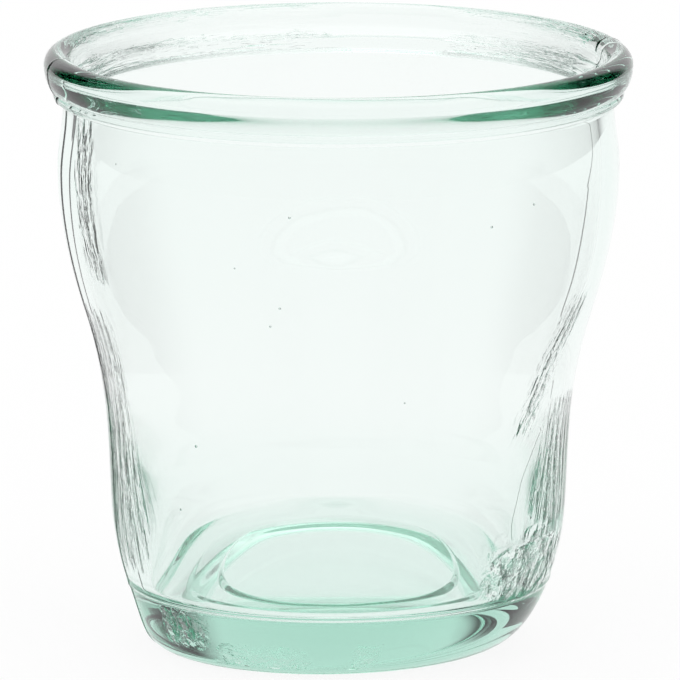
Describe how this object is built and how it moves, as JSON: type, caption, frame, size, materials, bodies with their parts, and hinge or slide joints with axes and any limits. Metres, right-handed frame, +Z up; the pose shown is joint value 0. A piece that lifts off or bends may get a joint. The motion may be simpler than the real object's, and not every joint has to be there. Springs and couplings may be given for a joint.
{
  "type": "cortado glass",
  "caption": "Empty cortado tumbler in thick pale green recycled glass: rolled rim, bulged bowl, soft waist, heavy round-heeled base; holds a short coffee.",
  "frame": {"origin": "centre of the foot, on the plane the glass stands on", "axes": "+Z up along the glass's axis; the glass is round, so X and Y are free, and -Y faces the camera of the picture"},
  "size_m": [0.078, 0.078, 0.08],
  "materials": {
    "glass": "clear pressed glass with a pale green tint, glossy"
  },
  "bodies": {
    "root": {"rim_bead": "glass", "body_wall": "glass", "thick_base": "glass"}
  },
  "joints": []
}
